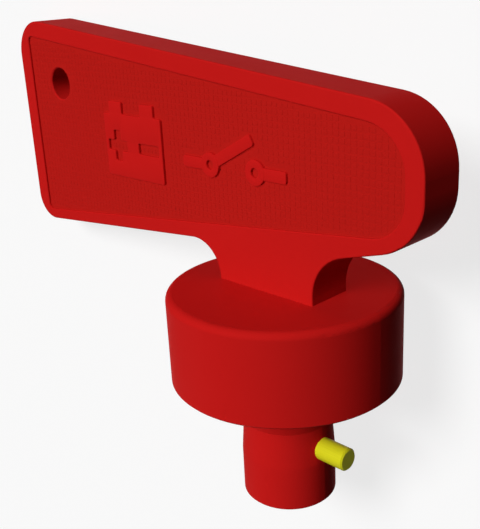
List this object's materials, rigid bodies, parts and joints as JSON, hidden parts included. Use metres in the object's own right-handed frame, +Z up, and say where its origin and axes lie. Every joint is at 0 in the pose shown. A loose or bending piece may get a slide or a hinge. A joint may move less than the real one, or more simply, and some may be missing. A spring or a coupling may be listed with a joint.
{
  "type": "battery isolator key",
  "caption": "Removable switch key: flag-shaped handle with a ring hole, hollow splash cap, round stem and metal cross pin.",
  "frame": {"origin": "middle of the bounding box's base; the key lies on its back, on the side of the cap and the handle's far edge", "axes": "+X along the handle towards its nose, +Y up the stem towards the handle, +Z up from the surface that the key lies on; the handle's front face looks up, turned about 13.6 degrees round the stem"},
  "size_m": [0.0726, 0.0614, 0.03],
  "materials": {
    "red_plastic": "satin moulded plastic with fine grained panels",
    "yellow_metal": "plain drawn rod"
  },
  "bodies": {
    "root": {"key_moulding": "red_plastic", "cross_pin": "yellow_metal"}
  },
  "joints": []
}
